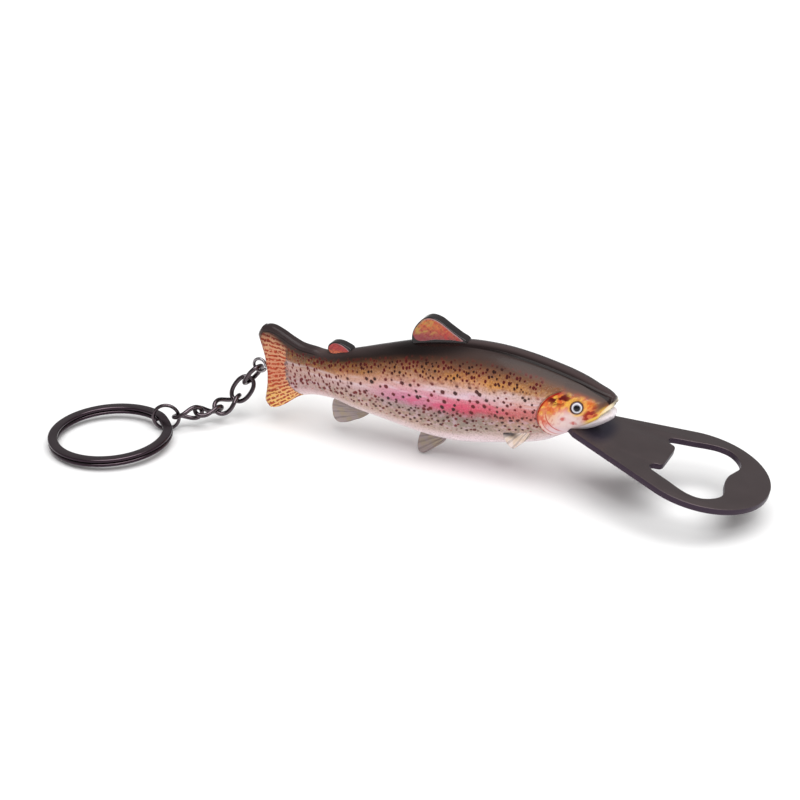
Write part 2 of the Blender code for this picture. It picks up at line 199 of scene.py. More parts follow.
class Paint:
    """A material whose nodes are built by calls and by arithmetic on its values."""

    def __init__(self, name, **settings):
        self.material = bpy.data.materials.new(name)
        self.material.use_nodes = True
        self.tree = self.material.node_tree
        self.shader = self.tree.nodes["Principled BSDF"]
        for key, value in settings.items():
            self.shader.inputs[key.replace("_", " ")].default_value = value

    def feed(self, socket, value):
        if isinstance(value, Value):
            self.tree.links.new(value.socket, socket)
        else:
            socket.default_value = value

    def add(self, kind, sockets, **settings):
        node = self.tree.nodes.new("ShaderNode" + kind)
        for key, value in settings.items():
            setattr(node, key, value)
        for key, value in sockets.items():
            self.feed(node.inputs[key], value)
        return node

    def value(self, output, kind, sockets, **settings):
        return Value(self, self.add(kind, sockets, **settings).outputs[output])

    def number(self, attribute):
        return self.value("Fac", "Attribute", {}, attribute_name=attribute)

    def vector(self, attribute):
        return self.value("Vector", "Attribute", {}, attribute_name=attribute)

    def lumps(self, height, depth):
        """Fine relief in the shading only; depth is in millimetres."""
        node = self.add("Bump", {"Height": height, "Distance": depth * MM, "Strength": 1.0})
        self.tree.links.new(node.outputs["Normal"], self.shader.inputs["Normal"])

    def colour(self, value):
        self.feed(self.shader.inputs["Base Color"], value)

    def roughness(self, value):
        self.feed(self.shader.inputs["Roughness"], value)


class Value:
    """A number, a place or a colour that varies over a painted surface."""

    def __init__(self, paint, socket):
        self.paint = paint
        self.socket = socket

    def math(self, operation, second=0.0):
        return self.paint.value(0, "Math", {0: self, 1: second}, operation=operation)

    def __add__(self, other):
        return self.math("ADD", other)

    def __sub__(self, other):
        return self.math("SUBTRACT", other)

    def __mul__(self, other):
        return self.math("MULTIPLY", other)

    def __truediv__(self, other):
        return self.math("DIVIDE", other)

    def __rsub__(self, other):
        return self * -1.0 + other

    __rmul__ = __mul__

    def rise(self, low, high):
        """A smooth step from 0 at low to 1 at high; low above high falls instead."""
        sockets = {"Value": self, "From Min": low, "From Max": high}
        return self.paint.value("Result", "MapRange", sockets, interpolation_type="SMOOTHSTEP")

    def band(self, low, high, soft):
        return self.rise(low - soft, low + soft) * self.rise(high + soft, high - soft)

    def blend(self, below, above):
        """One colour where this number is 0, the other where it is 1."""
        sockets = {0: self, 6: screen(below), 7: screen(above)}
        return self.paint.value(2, "Mix", sockets, data_type="RGBA")

    def coat(self, above, share, *more):
        """Another colour laid over this one, in a share that is the product of the numbers given."""
        for factor in more:
            share = share * factor
        return share.blend(self, above)

    def coats(self, *layers):
        """Colours laid on in turn, each given with its shares."""
        colour = self
        for layer in layers:
            colour = colour.coat(*layer)
        return colour

    def darken(self, grey):
        sockets = {0: 1.0, 6: self, 7: grey}
        return self.paint.value(2, "Mix", sockets, data_type="RGBA", blend_type="MULTIPLY")

    def ramp(self, stops):
        """Colours at numbers between -90 and 90."""
        node = self.paint.add("ValToRGB", {"Fac": (self + 90.0) / 180.0})
        elements = node.color_ramp.elements
        while len(elements) < len(stops):
            elements.new(0.5)
        for element, (place, *colour) in zip(elements, sorted(stops)):
            element.position = (place + 90.0) / 180.0
            element.color = screen(colour)
        return Value(self.paint, node.outputs["Color"])

    def axes(self):
        node = self.paint.add("SeparateXYZ", {"Vector": self})
        return [Value(self.paint, socket) for socket in node.outputs]

    def stretched(self, scale, turn=0.0):
        sockets = {"Vector": self, "Scale": scale, "Rotation": (0.0, 0.0, math.radians(turn))}
        return self.paint.value("Vector", "Mapping", sockets, vector_type="TEXTURE")

    def noise(self, size, detail=2.0, output="Fac"):
        """Cloudy numbers around 0.5, whose lumps are about the given size."""
        return self.paint.value(output, "TexNoise", {"Vector": self, "Scale": 1.0 / size, "Detail": detail})

    def cells(self, scale, randomness=1.0):
        """Distances from the middles of scattered cells, and a colour drawn for each cell."""
        sockets = {"Vector": self, "Scale": scale, "Randomness": randomness}
        node = self.paint.add("TexVoronoi", sockets, voronoi_dimensions="2D")
        return [Value(self.paint, node.outputs[output]) for output in ("Distance", "Color")]

    def spots(self, pitch, smallest, largest, share, soft):
        """Scattered round spots: one at most in each cell of the pitch, in a share of the cells."""
        off_middle, drawn = self.cells(1.0 / pitch, 0.85)
        chance = self.paint.add("SeparateColor", {"Color": drawn}).outputs
        radius = Value(self.paint, chance[0]) * (largest - smallest) + smallest
        present = Value(self.paint, chance[1]).math("LESS_THAN", share)
        return (off_middle - radius).rise(soft, -soft) * present

    def wobble(self, size, reach):
        """The place pushed about by cloudy noise, to make outlines uneven."""
        sockets = {0: self.noise(size, 1.0, "Color"), 1: (0.5, 0.5, 0.5)}
        centred = self.paint.value(0, "VectorMath", sockets, operation="SUBTRACT")
        push = self.paint.value(0, "VectorMath", {0: centred, "Scale": reach}, operation="SCALE")
        return self.paint.value(0, "VectorMath", {0: self, 1: push}, operation="ADD")


def distance(x, y):
    return (x * x + y * y).math("SQRT")


def blob(x, y, centre, radii, soft):
    """An oval patch: 1 inside, 0 outside."""
    far = distance((x - centre[0]) / radii[0], (y - centre[1]) / radii[1])
    return far.rise(1 + soft, 1 - soft)


# ---- fish body

# Body sections: x, height of the middle, half height, half width
BODY_SECTIONS = (
    (-18.0, 3.3, 6.1, 3.7),
    (-11.0, 3.7, 7.8, 5.2),
    (-4.0, 4.4, 9.4, 6.5),
    (3.0, 5.0, 11.0, 7.5),
    (10.0, 5.4, 12.2, 8.1),
    (18.0, 6.1, 12.6, 8.4),
    (26.0, 6.9, 11.9, 8.4),
    (33.0, 7.3, 10.7, 8.1),
    (38.5, 7.7, 9.2, 7.6),
    (42.5, 8.4, 7.5, 7.0),
    (46.0, 8.6, 6.2, 6.2),
    (49.2, 8.6, 4.9, 5.2),
    (51.8, 8.9, 3.6, 4.0),
    (52.9, 9.05, 2.9, 2.8),
    (53.5, 9.15, 2.1, 1.8),
    (53.75, 9.2, 0.0, 0.0),
)
# Tail sections follow its curved end: top x and z, bottom x and z, middle x, half width, squareness
TAIL_SECTIONS = (
    (-37.75, 9.7, -36.3, -6.3, -35.4, 0.0, 2.2),
    (-37.75, 9.9, -36.45, -6.6, -35.35, 0.9, 3.0),
    (-37.5, 10.9, -36.2, -7.5, -35.15, 1.45, 3.6),
    (-36.8, 12.1, -35.4, -8.3, -35.0, 1.68, 4.0),
    (-35.6, 12.95, -34.3, -8.6, -34.1, 1.72, 4.2),
    (-33.9, 13.2, -33.0, -8.3, -32.8, 1.75, 4.2),
    (-31.4, 12.4, -31.0, -7.2, -31.0, 1.8, 4.0),
    (-28.8, 11.1, -29.0, -5.7, -28.9, 1.9, 3.6),
    (-26.2, 10.0, -26.9, -4.2, -26.5, 2.15, 3.1),
    (-22.6, 9.5, -23.4, -3.0, -23.0, 2.8, 2.5),
)
GILL_CENTRE = (43.9, 6.9)  # x and z of the arc along the gill cover's free edge
GILL_RADIUS = 6.3
INNER_GILL_CENTRE = (45.2, 8.4)  # and of a second arc inside it
INNER_GILL_RADIUS = 5.6
EYE_POINT = np.array((46.3, 5.6, 9.95))
EYE_FACING = np.array((0.33, 0.91, 0.22)) / np.linalg.norm((0.33, 0.91, 0.22))
EYE_RADIUS = 1.45


def body_knots():
    rows = list(TAIL_SECTIONS)
    for x, middle, half_height, half_width in BODY_SECTIONS:
        rows.append((x, middle + half_height, x, middle - half_height, x, half_width, 2.0))
    return np.array(rows)


def spread(low, high, count, density):
    """Places from low to high, closer together where the density is higher."""
    fine = np.linspace(low, high, 4000)
    total = np.concatenate(([0.0], np.cumsum((density(fine[1:]) + density(fine[:-1])) / 2)))
    return np.interp(np.linspace(0, total[-1], count), total, fine)


def mouth_height(x):
    """Height of the line where the lips meet, which drops from the snout towards the cheek."""
    return 8.3 - 0.60 * (52.6 - x)


def seam_width(x):
    """Distance from the middle plane of the seam along each side of the back."""
    return np.interp(x, (-36, -24, 16, 30, 44, 51, 53.5), (1.75, 1.9, 2.3, 2.5, 2.3, 1.5, 0.8))


def fish_relief(x, y, z):
    """How far the skin stands out, in millimetres, at places on the smooth body."""
    side = np.abs(y)
    out = np.zeros_like(x)
    # seam along the back
    along = step(x, 16.0, 18.5) * step(-x, -53.6, -52.4) + step(-x, 20.5, 22.5)
    upper = step(z, 8.0, 9.5)
    off_seam = side - seam_width(x)
    out -= 0.12 * bump(off_seam, 0.46) * along * upper
    out += 0.10 * step(-off_seam, 0.0, 0.6) * along * upper
    # gill cover stands proud of the shoulder and fades into the cheek
    from_gill = np.hypot(x - GILL_CENTRE[0], z - GILL_CENTRE[1]) - GILL_RADIUS
    flank = step(side, 2.2, 4.2)
    ahead = step(-x, -46.0, -41.0)
    out += 0.34 * step(-from_gill, -0.12, 0.25) * ahead * flank
    out -= 0.10 * bump(from_gill - 0.35, 0.5) * step(-x, -43.0, -41.5) * flank
    from_inner = np.hypot(x - INNER_GILL_CENTRE[0], z - INNER_GILL_CENTRE[1]) - INNER_GILL_RADIUS
    out -= 0.10 * bump(from_inner, 0.35) * step(-x, -42.6, -41.0) * flank
    # eye: a shallow socket inside a soft rim
    for hand in (-1, 1):
        centre = EYE_POINT * (1, hand, 1)
        facing = EYE_FACING * (1, hand, 1)
        offset = np.stack((x, y, z), axis=-1) - centre
        flat = offset - (offset @ facing)[..., None] * facing
        radius = np.linalg.norm(flat, axis=-1)
        same_side = step(hand * y, 2.0, 3.0)
        out -= 0.45 * step(-radius, -1.62, -1.25) * same_side
        out += 0.16 * bump(radius - 1.95, 0.6) * same_side
    # mouth: a deep notch between the lips that thins out along the jaw
    off_mouth = z - mouth_height(x)
    depth = np.interp(x, (46.5, 48.5, 51.0, 52.6, 54.0), (0.0, 0.16, 0.40, 0.5, 0.2))
    width = np.interp(x, (46.5, 50.0, 52.5, 54.0), (0.30, 0.42, 0.75, 0.95))
    out -= depth * bump(off_mouth, width)
    lip = bump(off_mouth - 1.3 * width, 0.7) * step(x, 47.5, 50.0)
    out += 0.16 * lip * step(-x, -54.0, -52.8)
    # tail rays
    rays = np.sin((z - 2.0) * 2 * math.pi / (1.15 + 0.02 * (-30.0 - x)))
    on_tail = step(-x, 29.0, 31.0) * step(side, 1.0, 1.5)
    out += 0.045 * rays * on_tail
    out -= 0.12 * bump(x + 29.4 - 0.2 * np.maximum(0.0, 1.0 - z) ** 2, 0.5) * step(9.0 - z, 0.0, 2.0)
    return out


def fish_body():
    knots = body_knots()
    at = np.concatenate(([0.0], np.cumsum(np.abs(np.diff(knots[:, 4])) + 0.15)))

    def density(t):
        x = np.interp(t, at, knots[:, 4])
        return 1 + 1.6 * (x > 36) + 1.2 * (x < -28)

    places = spread(0.0, at[-1], 380, density)
    top_x, top_z, low_x, low_z, middle_x, width, square = smooth_through(at, knots, places).T[..., None]
    width = np.maximum(width, 0.0)
    half = 88
    angles = spread(0.0, math.pi, half + 1, lambda t: 1 + 1.8 * np.exp(-(((t - 0.30) / 0.2) ** 2)))
    angles = np.concatenate((angles, -angles[-2:0:-1]))[None, :]
    upright, sideways = np.cos(angles), np.sin(angles)
    power = 2.0 / square
    level = np.sign(upright) * np.abs(upright) ** power
    y = -width * np.sign(sideways) * np.abs(sideways) ** power
    share = (level + 1) / 2
    x = low_x + (top_x - low_x) * share + (middle_x - (top_x + low_x) / 2) * (1 - level**2)
    z = low_z + (top_z - low_z) * share
    points = np.stack((x, y, z), axis=-1)
    round_steps = np.linalg.norm(np.diff(points, axis=1), axis=-1)
    from_top = np.concatenate((np.zeros((len(x), 1)), np.cumsum(round_steps[:, :half], axis=1)), axis=1)
    from_top = np.concatenate((from_top, from_top[:, -2:0:-1]), axis=1)
    flank = from_top[:, [np.argmin(np.abs(angles[0, :half] - math.pi / 2))]]
    around = np.roll(points, -1, axis=1) - np.roll(points, 1, axis=1)
    normal = np.cross(np.gradient(points, axis=0), around)
    outward = np.stack((np.zeros_like(x), y, z - (top_z + low_z) / 2), axis=-1)
    length = np.linalg.norm(normal, axis=-1, keepdims=True)
    normal = normal / np.maximum(length, 1e-9)
    normal *= np.where((normal * outward).sum(-1, keepdims=True) < 0, -1.0, 1.0)
    normal[:2] = (-1.0, 0.0, 0.0)
    normal[-2:] = (1.0, 0.0, 0.0)
    relief = fish_relief(x, y, z)
    attributes = {
        "place": np.stack((x, np.abs(y), z), axis=-1),
        "skin": np.stack((x, flank - from_top, np.zeros_like(x)), axis=-1),
        "tilt": np.degrees(np.arcsin(np.clip(level * np.ones_like(x), -1, 1))),
        "crest": from_top,
    }
    skin = points + normal * relief[..., None]
    # the lips part at the snout in an open V
    skin[..., 0] -= 1.7 * bump(z - mouth_height(x), 1.15) * step(x, 50.8, 53.0)
    surface("fish_skin", skin, attributes, trout_paint(), ["fish_body"])


# Colours from belly to back at five places along the fish: tilt of the skin in degrees, red, green, blue
# The belly's colours are paler than the skin's own, as painted light on the underside that faces down;
# the pale lavender band along the middle of the flank is partly the skin's stripe and partly a painted
# reflection.
FLANK_COLOURS = (
    (-24.0, (
        (-60, 238, 214, 216), (-42, 220, 186, 188), (-25, 205, 170, 165), (-5, 205, 168, 160),
        (10, 208, 168, 155), (22, 160, 120, 92), (32, 118, 88, 60), (42, 92, 72, 58), (50, 86, 72, 68),
        (62, 100, 86, 86), (80, 140, 122, 120),
    )),
    (-11.0, (
        (-60, 246, 226, 228), (-44, 224, 196, 190), (-30, 214, 178, 158), (-14, 206, 172, 160),
        (0, 220, 185, 186), (10, 222, 180, 170), (20, 212, 155, 118), (30, 166, 114, 70), (40, 130, 90, 58),
        (48, 78, 55, 42), (56, 60, 48, 46), (80, 104, 90, 90),
    )),
    (5.0, (
        (-60, 250, 230, 234), (-45, 226, 200, 196), (-34, 206, 174, 158), (-22, 192, 156, 140),
        (-12, 186, 158, 158), (-3, 216, 134, 166), (6, 226, 150, 172), (13, 232, 180, 182),
        (24, 212, 162, 142), (33, 176, 128, 94), (42, 144, 97, 70), (50, 82, 57, 46), (57, 46, 36, 34),
        (70, 40, 33, 32), (84, 74, 64, 64),
    )),
    (21.0, (
        (-60, 250, 232, 238), (-46, 236, 212, 216), (-36, 196, 176, 164), (-25, 168, 150, 138),
        (-16, 152, 132, 124), (-9, 192, 96, 110), (-3, 226, 84, 112), (4, 228, 128, 146), (12, 232, 200, 212),
        (20, 230, 184, 166), (28, 212, 146, 96), (38, 158, 106, 78), (48, 118, 86, 70), (56, 100, 80, 74),
        (66, 98, 84, 82), (82, 92, 78, 78),
    )),
    (33.0, (
        (-60, 250, 232, 236), (-44, 226, 198, 194), (-30, 196, 166, 150), (-18, 200, 158, 140),
        (-8, 206, 118, 112), (0, 214, 122, 122), (8, 222, 164, 156), (17, 226, 194, 190), (25, 206, 160, 126),
        (34, 166, 120, 86), (44, 136, 100, 80), (54, 112, 90, 82), (64, 102, 88, 84), (82, 92, 78, 78),
    )),
)


def flank_colours(tilt, x):
    """The flank's colours, blended lengthways."""
    (_, first), *_ = FLANK_COLOURS
    colour = tilt.ramp(first)
    for (before, _), (here, stops) in zip(FLANK_COLOURS, FLANK_COLOURS[1:]):
        colour = colour.coat(tilt.ramp(stops), x.rise(before, here))
    return colour


def trout_paint():
    paint = Paint("trout_paint", Coat_Weight=0.06, Coat_Roughness=0.06, Specular_IOR_Level=0.14)
    x, side, z = paint.vector("place").axes()
    skin, tilt, crest = paint.vector("skin"), paint.number("tilt"), paint.number("crest")
    streaks = skin.stretched((5.0, 1.0, 1.0)).noise(1.6, 3.0)
    patches = skin.noise(5.0)
    shifted = tilt + (streaks - 0.5) * 13.0 + (patches - 0.5) * 9.0

    flecks = skin.stretched((0.8, 1.3, 1.0), 20).noise(0.8, 3.0)
    painted_glints = skin.stretched((8.0, 1.0, 1.0)).noise(1.1)
    blush = skin.stretched((3.0, 1.0, 1.0)).noise(1.6)
    mottling = skin.stretched((1.4, 1.0, 1.0)).noise(1.2, 3.0)
    bare = tilt.rise(50.0, 38.0)
    low, high = tilt.band(-34.0, -12.0, 6.0), tilt.band(21.0, 42.0, 7.0)
    colour = flank_colours(shifted, x).coats(
        # warm orange patches along the upper flank, and a painted shadow of the dorsal fin in black on the
        # back below it
        ((228, 160, 84), blob(x, shifted, (25.0, 31.0), (9.5, 7.0), 0.6), 0.75, patches.rise(0.3, 0.6)),
        ((34, 25, 25), blob(x, tilt, (9.5, 74.0), (9.5, 17.0), 0.5), 0.75),
        # fine grain of the scales
        ((110, 74, 58), skin.noise(0.45, 1.0).rise(0.5, 0.7), 0.34, bare),
        ((150, 84, 52), flecks.rise(0.48, 0.66), 0.5, tilt.band(16.0, 48.0, 8.0)),
        ((140, 120, 108), flecks.rise(0.46, 0.62), 0.42, tilt.band(-40.0, -6.0, 8.0)),
        ((255, 236, 226), skin.cells(1.7)[0].rise(0.3, 0.0), 0.2, bare),
        # painted highlight: pale lengthways glints above the pink band; and brighter patches of pink in it
        ((248, 230, 240), painted_glints.rise(0.46, 0.66), 0.5, tilt.band(3.0, 19.0, 5.0)),
        ((228, 84, 124), blush.rise(0.48, 0.66), 0.55, tilt.band(-7.0, 3.0, 5.0), x.band(4.0, 32.0, 4.0)),
        # grey-green and lilac mottling below it, golden and rusty mottling above it
        ((144, 142, 130), mottling.rise(0.52, 0.66), 0.42, low),
        ((222, 190, 204), mottling.rise(0.5, 0.36), 0.5, low),
        ((206, 146, 76), mottling.rise(0.5, 0.62), 0.3, high),
        ((150, 104, 84), mottling.rise(0.5, 0.38), 0.4, high),
    )

    # spots: dense and dark above, sparse on the pink band, browner below, slanted towards the tail
    uneven = skin.wobble(0.7, 0.32)
    tones = patches.rise(0.4, 0.6) * x.rise(-24.0, -4.0)
    halo = tones.blend((176, 62, 56), (116, 60, 46))
    core = tones.blend((92, 26, 32), (40, 24, 26))
    # for each group: stretch, turn, (pitch, sizes, share), tilt band, span along the fish, strength
    for stretch, turn, sizes, band, (start, full, fade, end), strength in (
        ((0.9, 1.1, 1.0), 60, (1.85, 0.17, 0.30, 0.72), (-14.0, 22.0, 6.0), (-16.0, -9.0, 24.0, 30.0), 0.86),
        ((1.0, 1.1, 1.0), 40, (1.36, 0.15, 0.28, 0.86), (-12.0, 22.0, 6.0), (23.0, 29.0, 37.0, 39.5), 0.82),
        ((1.15, 0.9, 1.0), 35, (1.42, 0.15, 0.31, 0.9), (-36.0, -7.0, 6.0), (-31.0, -27.0, 37.0, 39.5), 0.8),
        ((0.8, 1.25, 1.0), 15, (1.3, 0.16, 0.32, 0.9), (-30.0, 26.0, 8.0), (-31.0, -27.0, -15.0, -8.0), 0.86),
        ((0.9, 1.15, 1.0), 22, (1.14, 0.19, 0.36, 0.96), (25.0, 57.0, 6.0), (-31.0, -27.0, 37.0, 39.5), 0.92),
    ):
        spots = uneven.stretched(stretch, turn).spots(*sizes, 0.13) * tilt.band(*band)
        spots = spots * x.rise(start, full) * x.rise(end, fade) * tilt.rise(60.0, 42.0)
        colour = colour.coats((halo, spots, 0.75), (core, spots.rise(0.3, 0.8), strength))

    colour = head_paint(colour, x, side, z, tilt, skin)
    colour = tail_paint(colour, x, z, tilt, skin)

    # black lacquer over the crest of the back, down to its seam and forward to the lip, paler along the
    # middle of the crest as a painted highlight
    off_seam = side + x.rise(16.0, 30.0) * -0.2
    above_lip = z - mouth_height(x) + x.rise(50.5, 53.0) * -0.9
    deck = off_seam.rise(2.5, 2.1) * z.rise(8.0, 9.5) * x.rise(10.0, 18.0) * above_lip.rise(1.1, 1.5)
    crown_with_painted_highlight = side.rise(0.2, 2.0).blend((120, 102, 102), (52, 38, 38))
    tail_root = x.rise(-20.0, -23.0) * x.rise(-37.4, -36.0)
    colour = colour.coats(
        (crown_with_painted_highlight, deck),
        ((84, 72, 74), crest.rise(2.3, 1.9), tail_root, 0.85),
        # dark lines painted along the seam, on the tail's root and on the back, as painted shade in its
        # groove
        ((26, 20, 20), crest.band(2.1, 2.35, 0.16), tail_root, 0.9),
        ((34, 20, 20), (side - 2.35).math("ABSOLUTE").band(-1.0, 0.12, 0.16), deck),
    )
    # painted shade: the whole skin darkened the more it faces up, not at all on the belly and most on the
    # crest
    shade = tilt.ramp((
        (-60, 255, 255, 255), (-30, 244, 242, 242), (8, 240, 239, 239), (24, 234, 231, 229),
        (36, 216, 212, 208), (50, 188, 182, 180), (70, 164, 158, 156), (88, 150, 146, 146),
    ))
    paint.colour(colour.darken(shade))
    paint.roughness(skin.noise(3.0, 3.0) * 0.12 + 0.2)
    paint.lumps(skin.noise(0.7), 0.012)
    return paint.material


def head_paint(colour, x, side, z, tilt, skin):
    """Gill cover, cheek, jaw and snout."""
    mottle = skin.stretched((1.5, 1.0, 1.0), 30).noise(1.3, 3.0)
    strokes = skin.stretched((0.8, 2.0, 1.0), -25).noise(0.9, 3.0)
    smudge = skin.stretched((1.6, 1.0, 1.0), 20).noise(1.0, 3.0)
    freckles = skin.wobble(0.8, 0.7).spots(1.7, 0.12, 0.36, 0.6, 0.22)
    from_gill = distance(x - GILL_CENTRE[0], z - GILL_CENTRE[1]) - GILL_RADIUS
    off_mouth = z - mouth_height(x)
    lip_top = off_mouth + x.rise(50.5, 53.0) * -1.0
    lip = off_mouth.rise(-0.3, 0.1) * lip_top.rise(1.35, 0.95) * x.rise(47.0, 49.5)
    streak = off_mouth.band(1.0, 3.6, 0.7) * x.band(47.7, 50.6, 0.9)
    base = tilt.ramp((
        (-70, 236, 216, 216), (-42, 248, 222, 214), (-15, 248, 204, 182), (5, 246, 178, 118),
        (20, 244, 158, 84), (32, 206, 120, 70), (42, 136, 92, 74), (52, 104, 86, 80),
        (64, 100, 86, 82), (84, 92, 78, 78),
    ))
    base = base.coats(
        # yellow and red mottling, and red strokes
        ((252, 204, 84), mottle.rise(0.46, 0.56), tilt.band(-2.0, 38.0, 8.0), 0.85),
        ((222, 70, 38), skin.noise(2.4).rise(0.47, 0.57), tilt.band(-20.0, 40.0, 10.0), 0.7),
        ((206, 60, 44), strokes.rise(0.5, 0.6), tilt.band(-34.0, 36.0, 8.0), 0.45),
        # pale cheek behind and below the eye
        ((250, 226, 224), blob(x, z, (45.6, 6.7), (3.6, 2.7), 0.5), 0.85),
        ((240, 212, 220), from_gill.rise(-0.2, -1.6), blob(x, z, (41.4, 2.6), (3.6, 2.4), 0.5), 0.8),
        # dark patch at the top of the gill cover
        ((104, 22, 22), blob(x, tilt, (42.0, 27.0), (3.0, 12.0), 0.5), smudge.rise(0.44, 0.54)),
        # white jaw, orange and red streaks in front of the eye, dark snout
        ((250, 242, 246), off_mouth.rise(0.1, -0.3), x.rise(45.8, 47.6), 0.95),
        ((236, 120, 60), streak, 0.9),
        ((170, 44, 30), streak, smudge.rise(0.46, 0.54)),
        ((96, 74, 66), off_mouth.rise(1.5, 2.8), x.rise(49.0, 51.4), 0.9),
        # upper lip, yellow turning cream towards its tip, and the cream inside of the mouth
        (x.rise(50.4, 53.0).blend((252, 208, 92), (252, 240, 206)), lip, 0.95),
        ((250, 244, 226), off_mouth.band(-0.5, 0.15, 0.2), x.rise(51.6, 52.4)),
        # freckles low on the cheek
        ((206, 62, 48), freckles, blob(x, tilt, (44.2, -14.0), (2.4, 32.0), 0.4), 0.8),
        # rim around the eye
        ((248, 190, 88), blob(x, z, (46.5, 10.1), (2.1, 2.1), 0.25), mottle.rise(0.42, 0.56) * 0.6 + 0.3),
        ((104, 56, 50), blob(x, z, (46.35, 9.95), (1.5, 1.5), 0.1)),
    )
    head = from_gill.rise(0.1, -0.15).math("MAXIMUM", x.rise(42.4, 43.2))
    # red line along the free edge of the gill cover, and fainter ones inside it
    behind = x.rise(43.4, 42.0) * side.rise(2.4, 4.0)
    from_inner = distance(x - INNER_GILL_CENTRE[0], z - INNER_GILL_CENTRE[1]) - INNER_GILL_RADIUS
    second = from_inner.band(-0.14, 0.14, 0.14) * x.rise(43.6, 41.8) * tilt.rise(8.0, -6.0)
    third = from_gill.band(-1.35, -1.1, 0.14) * x.rise(42.6, 41.0) * tilt.rise(0.0, -12.0)
    return colour.coats(
        (base, head),
        ((168, 34, 28), from_gill.band(-0.46, -0.06, 0.14), behind, mottle.rise(0.4, 0.56) * 0.5 + 0.5),
        ((92, 50, 44), from_gill.band(0.02, 0.25, 0.14), behind, 0.7),
        ((206, 66, 56), second, head, 0.9),
        ((214, 84, 70), third, head, 0.75),
    )


def tail_paint(colour, x, z, tilt, skin):
    """Orange tail fin with rows of dark red dashes, and its dark scalloped root."""
    low = (1.0 - z).math("MAXIMUM", 0.0)
    from_root = x + 29.7 + low * low * -0.22 + (skin.noise(0.9) - 0.5) * 1.6
    # the rows fan out from a point above the tail's root
    fan = (z - 6.8) / (x * -0.05 - 0.65) + (skin.noise(1.6) - 0.5) * 1.3
    row = (fan * (2 * math.pi / 1.12)).math("SINE")
    redder = skin.noise(1.7).rise(0.4, 0.6).blend((190, 70, 46), (152, 28, 20))
    # the dark top of the tail, paler where it faces up as a painted highlight
    smoke = tilt.rise(50.0, 66.0).blend((74, 62, 62), (112, 96, 94))
    base = z.rise(1.0, -5.0).blend((240, 176, 136), (246, 196, 112)).coats(
        ((238, 190, 150), skin.noise(1.2).rise(0.4, 0.65), 0.55),
        (redder, row.rise(-0.7, 0.1), skin.noise(0.62, 1.0).rise(0.35, 0.5), 0.92),
        ((196, 74, 44), blob(x, z, (-33.4, 1.4), (3.2, 4.6), 0.6), 0.35),
        (smoke, (tilt + (x + 27.0) * 2.9).rise(24.0, 44.0)),
    )
    edge = from_root.band(-0.15, 0.55, 0.2) * z.rise(8.5, 6.5)
    return colour.coats(
        (base, from_root.rise(0.45, -0.35)),
        ((84, 74, 82), edge, skin.noise(0.7, 1.0).rise(0.4, 0.55), 0.75),
    )


# ---- fins

DORSAL_FIN = (
    (4.6, 13.4), (17.0, 15.8), (17.5, 19.0), (15.6, 20.0), (14.0, 20.9), (12.3, 21.9),
    (10.6, 22.9), (9.2, 23.3), (7.9, 23.3), (6.7, 22.8), (5.5, 21.7), (4.3, 20.0), (3.7, 18.4),
    (3.6, 17.0), (3.9, 15.6),
)
DORSAL_PANEL = (
    (4.6, 17.8), (4.3, 18.5), (4.8, 19.7), (6.0, 21.3), (7.0, 22.3), (8.0, 22.7), (9.1, 22.7),
    (10.4, 22.25), (12.0, 21.45), (13.8, 20.45), (15.4, 19.6), (16.3, 19.05), (14.0, 18.85),
    (10.2, 18.55),
)
ADIPOSE_FIN = (
    (-16.8, 7.6), (-13.2, 8.4), (-12.3, 11.2), (-13.9, 12.0), (-15.2, 12.35), (-16.5, 12.35),
    (-17.6, 12.0), (-18.4, 11.2), (-18.6, 10.3), (-17.8, 9.2),
)
ADIPOSE_PANEL = (
    (-17.7, 9.9), (-18.0, 10.6), (-17.4, 11.3), (-16.6, 11.7), (-15.3, 11.7), (-14.1, 11.3),
    (-13.2, 10.7), (-14.8, 10.3),
)
ANAL_FIN = (
    (-15.8, -1.2), (-17.3, -2.6), (-18.0, -4.4), (-18.0, -6.3), (-17.6, -8.2), (-16.7, -9.0),
    (-14.8, -8.9), (-12.0, -7.7), (-9.3, -6.2), (-8.2, -5.2), (-8.8, -2.6),
)
PELVIC_FIN = (
    (6.4, -4.2), (5.6, -7.0), (5.0, -9.0), (4.8, -11.2), (5.2, -12.4), (6.1, -12.6),
    (7.9, -11.6), (9.7, -10.2), (12.0, -8.0), (12.3, -7.2), (11.6, -4.8),
)
PECTORAL_FIN = (
    (3.0, 2.4), (-1.8, 2.4), (-2.7, 0.2), (-2.7, -1.1), (-1.9, -2.3), (-0.6, -3.5), (0.1, -3.7),
    (1.3, -2.8), (2.7, -1.4), (3.6, 0.0), (3.7, 0.8),
)
PECTORAL_POINT = (32.0, 6.3, 1.0)
PECTORAL_SPLAY = math.radians(19)
DORSAL_HALF, ADIPOSE_HALF, THIN_HALF = 1.4, 1.2, 0.45
HANDS = (("right", -1), ("left", 1))


